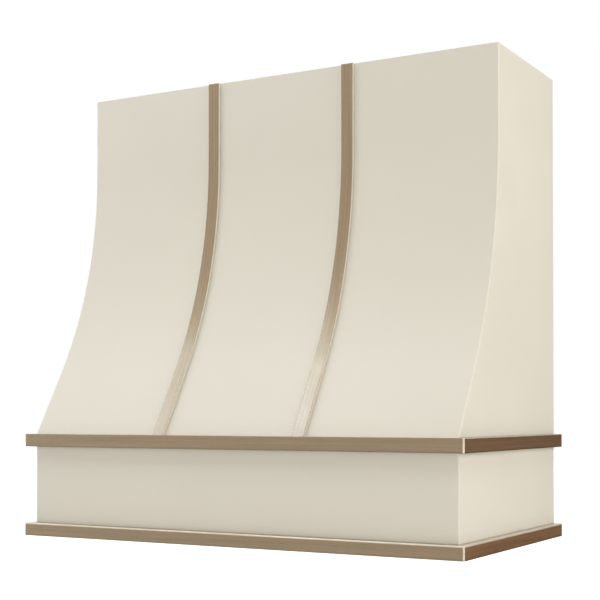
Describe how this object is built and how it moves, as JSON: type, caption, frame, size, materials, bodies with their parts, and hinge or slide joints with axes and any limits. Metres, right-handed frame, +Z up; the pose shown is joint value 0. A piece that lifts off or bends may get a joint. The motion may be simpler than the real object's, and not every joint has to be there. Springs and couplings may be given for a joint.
{
  "type": "range hood cover",
  "caption": "Wall-mounted wooden range hood cover with a swept painted front, walnut straps, mitred walnut mouldings and an open framed inside for a vent insert and duct.",
  "frame": {"origin": "centre of the bounding box in width and depth, on the plane of the underside", "axes": "+X to the viewer's right, the front faces -Y and the wall side +Y, +Z up"},
  "size_m": [0.9464, 0.5113, 0.9144],
  "materials": {
    "cream_paint": "satin cream paint on smooth board",
    "walnut": "walnut with a clear satin lacquer",
    "birch_ply": "bare sanded birch plywood",
    "zinc_steel": "bright zinc-plated steel"
  },
  "bodies": {
    "root": {"side_panel_left": "cream_paint", "side_panel_right": "cream_paint", "front_skin": "cream_paint", "apron_front": "cream_paint", "upper_trim_front": "walnut", "upper_trim_left": "walnut", "upper_trim_right": "walnut", "lower_trim_front": "walnut", "lower_trim_left": "walnut", "lower_trim_right": "walnut", "strap_left": "walnut", "strap_right": "walnut", "rib_left": "birch_ply", "rib_right": "birch_ply", "foot_batten_left": "birch_ply", "foot_batten_middle": "birch_ply", "foot_batten_right": "birch_ply", "top_front_rail": "birch_ply", "upper_wall_rail": "birch_ply", "lower_wall_rail": "birch_ply", "ledge_front": "birch_ply", "ledge_back": "birch_ply", "ledge_left": "birch_ply", "ledge_right": "birch_ply", "corner_block_left": "birch_ply", "corner_block_right": "birch_ply", "screw_upper_wall_rail_left_1": "zinc_steel", "screw_upper_wall_rail_left_2": "zinc_steel", "screw_upper_wall_rail_right_1": "zinc_steel", "screw_upper_wall_rail_right_2": "zinc_steel", "screw_lower_wall_rail_left_1": "zinc_steel", "screw_lower_wall_rail_right_1": "zinc_steel", "screw_top_front_rail_left_1": "zinc_steel", "screw_top_front_rail_left_2": "zinc_steel", "screw_top_front_rail_right_1": "zinc_steel", "screw_top_front_rail_right_2": "zinc_steel", "screw_ledge_front_1": "zinc_steel", "screw_ledge_front_2": "zinc_steel", "screw_ledge_front_3": "zinc_steel", "screw_ledge_front_4": "zinc_steel", "screw_ledge_back_1": "zinc_steel", "screw_ledge_back_2": "zinc_steel", "screw_ledge_back_3": "zinc_steel", "screw_ledge_back_4": "zinc_steel", "screw_ledge_left_1": "zinc_steel", "screw_ledge_left_2": "zinc_steel", "screw_ledge_left_3": "zinc_steel", "screw_ledge_right_1": "zinc_steel", "screw_ledge_right_2": "zinc_steel", "screw_ledge_right_3": "zinc_steel"}
  },
  "joints": []
}
